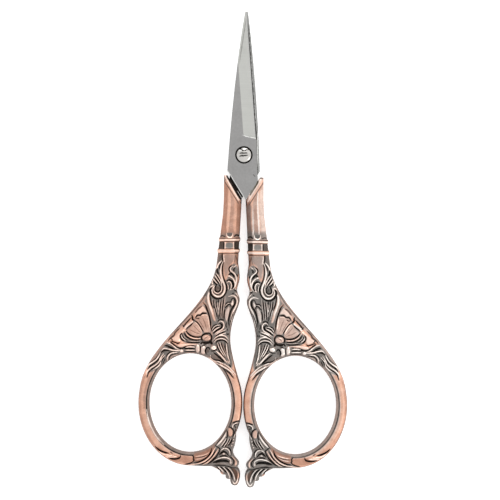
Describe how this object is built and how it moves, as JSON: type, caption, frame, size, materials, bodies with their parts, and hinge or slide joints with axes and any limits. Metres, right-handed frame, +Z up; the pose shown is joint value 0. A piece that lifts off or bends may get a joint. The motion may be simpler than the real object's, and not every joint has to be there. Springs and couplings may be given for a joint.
{
  "type": "embroidery scissors",
  "caption": "Small ornate embroidery scissors: slim pointed steel blades on a slotted pivot screw, with cast antique copper handles, scroll and flower relief and oval finger bows.",
  "frame": {"origin": "middle of the closed scissors' footprint, on the surface they lie on", "axes": "+Y toward the blade points, +X toward the handle that carries the front blade, +Z up, square to the blades"},
  "size_m": [0.0548, 0.1248, 0.0045],
  "materials": {
    "right_handle": "antique copper plating, bright on the high relief and dark in the recesses",
    "left_handle": "antique copper plating, bright on the high relief and dark in the recesses",
    "front_blade": "satin flat with a cross-ground bevel",
    "back_blade": "satin flat with a cross-ground bevel",
    "pivot_screw": "polished domed head"
  },
  "bodies": {
    "left_half": {"left_handle": "left_handle", "back_blade": "back_blade", "pivot_screw": "pivot_screw"},
    "right_half": {"right_handle": "right_handle", "front_blade": "front_blade"}
  },
  "joints": [
    {"name": "pivot", "type": "hinge", "parent": "left_half", "child": "right_half", "pos_m": [0, 0.02475, 0.00225], "axis": [0, 0, 1], "range_deg": [0, 105]}
  ]
}
